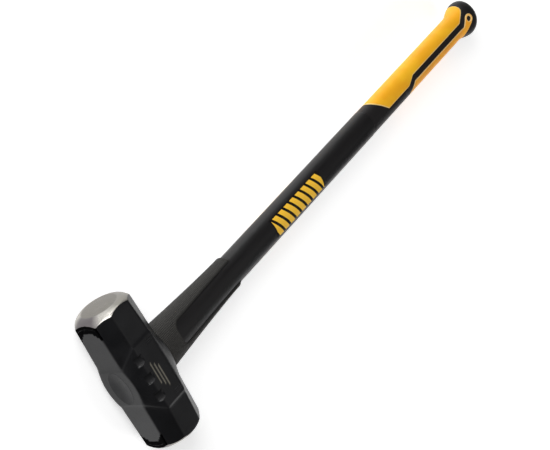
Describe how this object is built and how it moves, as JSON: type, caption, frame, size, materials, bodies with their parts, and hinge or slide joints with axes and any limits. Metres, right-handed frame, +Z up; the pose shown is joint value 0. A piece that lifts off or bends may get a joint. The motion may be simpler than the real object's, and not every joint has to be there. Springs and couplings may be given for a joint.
{
  "type": "sledgehammer",
  "caption": "Two-faced sledgehammer: octagonal forged head with turned striking faces on a long layered composite handle with a two-colour rubber grip and a flared pommel.",
  "frame": {"origin": "on the ground under the middle of the head, at the centre of the lower cheek, with the hammer lying on that cheek", "axes": "+X along the handle from head to pommel, +Y along the head towards one striking face, +Z up, from the lower cheek to the upper cheek"},
  "size_m": [0.9, 0.189, 0.0732],
  "materials": {
    "forged_steel": "black baked lacquer over the forging, striking faces ground and polished bright",
    "epoxy_resin": "cast resin",
    "potting_compound": "poured, dished, satin",
    "fibreglass": "pultruded rod",
    "carbon_composite": "wound layer, resin rich",
    "casing_plastic": "moulded polypropylene, fine satin",
    "end_plug_nylon": "moulded nylon",
    "guard_rubber": "moulded with a fine knurl, matt",
    "grip_rubber_black": "moulded, satin",
    "grip_rubber_yellow": "moulded, satin, with a fine raised edge",
    "label_film": "printed film"
  },
  "bodies": {
    "root": {"head": "forged_steel", "eye_bond": "epoxy_resin", "eye_plug": "potting_compound", "fibreglass_core": "fibreglass", "carbon_layer": "carbon_composite", "outer_casing": "casing_plastic", "overstrike_guard": "guard_rubber", "end_plug": "end_plug_nylon", "grip_sleeve": "grip_rubber_black", "grip_pad_front": "grip_rubber_yellow", "grip_pad_back": "grip_rubber_yellow", "label_top": "label_film", "label_bottom": "label_film"}
  },
  "joints": []
}
